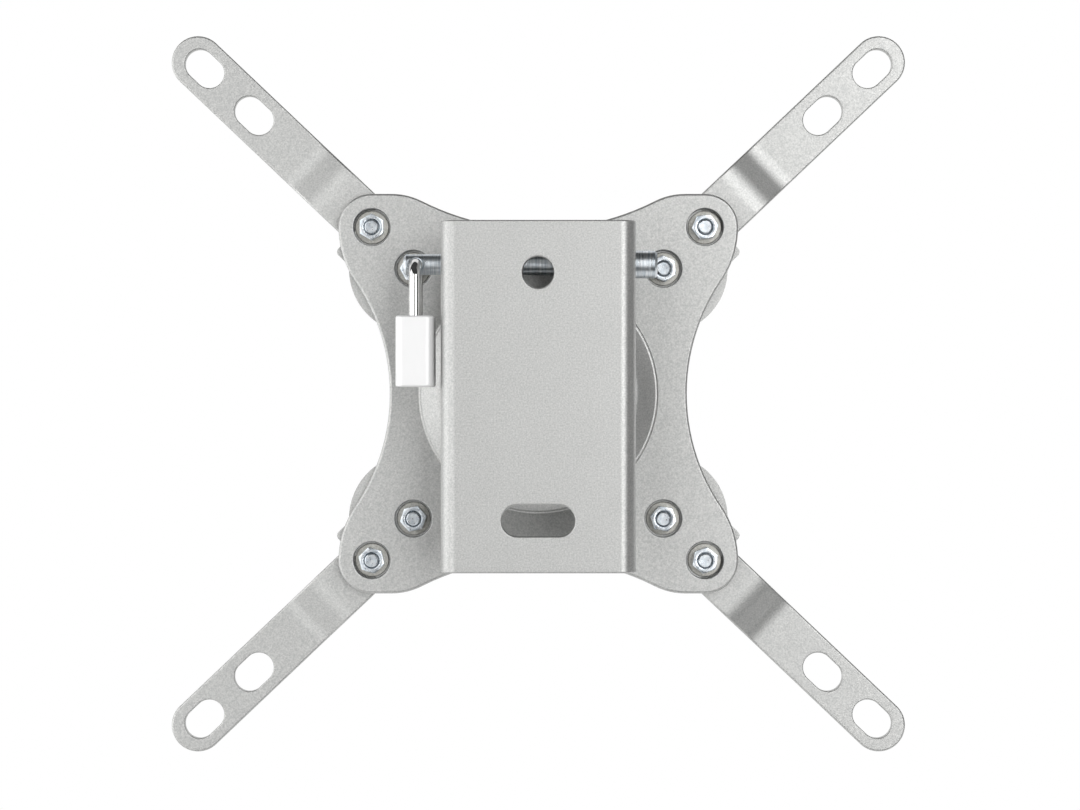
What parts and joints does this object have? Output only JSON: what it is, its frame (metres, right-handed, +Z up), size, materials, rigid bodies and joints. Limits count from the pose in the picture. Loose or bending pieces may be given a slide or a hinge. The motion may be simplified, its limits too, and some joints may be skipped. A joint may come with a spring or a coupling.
{
  "type": "swivel tv wall mount",
  "caption": "Small television wall bracket: a folded wall channel and a ball-jointed cross plate with slotted diagonal arms, secured by a padlocked pin.",
  "frame": {"origin": "centre of the wall plate's back face, on the wall", "axes": "+Y from the wall towards the television, +Z up, +X to the right when facing the wall"},
  "size_m": [0.2226, 0.0555, 0.2172],
  "materials": {
    "powder_coat": "silver-grey powder coat, fine orange peel",
    "zinc_plate": "bright bluish zinc plate",
    "chrome_wire": "polished chrome",
    "white_enamel": "smooth white enamel",
    "brass_plug": "turned brass",
    "nylon": "moulded nylon"
  },
  "bodies": {
    "wall_mount": {"wall_plate": "powder_coat", "cross_rod": "zinc_plate", "hanger_bracket": "powder_coat", "ball_stud": "zinc_plate", "stud_washer": "zinc_plate", "stud_nut": "zinc_plate"},
    "front_race": {"front_seat": "nylon"},
    "rear_race": {"rear_seat": "nylon"},
    "head": {"socket_dish": "powder_coat", "spider_plate": "powder_coat", "rear_plate": "powder_coat", "rear_cup": "powder_coat", "arm_upper_left": "powder_coat", "arm_upper_right": "powder_coat", "arm_lower_left": "powder_coat", "arm_lower_right": "powder_coat", "arm_screws": "zinc_plate", "arm_nuts": "zinc_plate", "clamp_screws": "zinc_plate", "clamp_nuts": "zinc_plate"},
    "pin": {"lock_pin": "zinc_plate"},
    "shackle": {"padlock_shackle": "chrome_wire"},
    "lock_case": {"padlock_body": "white_enamel", "padlock_keeper": "white_enamel"},
    "lock_plug": {"padlock_plug": "brass_plug"}
  },
  "joints": [
    {"name": "swivel", "type": "hinge", "parent": "wall_mount", "child": "front_race", "pos_m": [0, 0.045, 0.001], "axis": [0, 0, 1], "range_deg": [-15, 15]},
    {"name": "tilt", "type": "hinge", "parent": "front_race", "child": "rear_race", "pos_m": [0, 0.045, 0.001], "axis": [1, 0, 0], "range_deg": [-12, 12]},
    {"name": "level", "type": "hinge", "parent": "rear_race", "child": "head", "pos_m": [0, 0.045, 0.001], "axis": [0, 1, 0], "range_deg": [-10, 10]},
    {"name": "pin_slide", "type": "slide", "parent": "wall_mount", "child": "pin", "axis": [1, 0, 0], "range_m": [0, 0.001]},
    {"name": "padlock_swing", "type": "hinge", "parent": "pin", "child": "shackle", "pos_m": [-0.0355, 0.0125, 0.0383], "axis": [0, 1, 0], "range_deg": [-1.5, 45]},
    {"name": "padlock_drop", "type": "slide", "parent": "shackle", "child": "lock_case", "axis": [0, 0, -1], "range_m": [0, 0.0075]},
    {"name": "key_turn", "type": "hinge", "parent": "lock_case", "child": "lock_plug", "pos_m": [-0.0355, 0.0125, 0.0083], "axis": [0, 0, 1], "range_deg": [0, 90]}
  ]
}
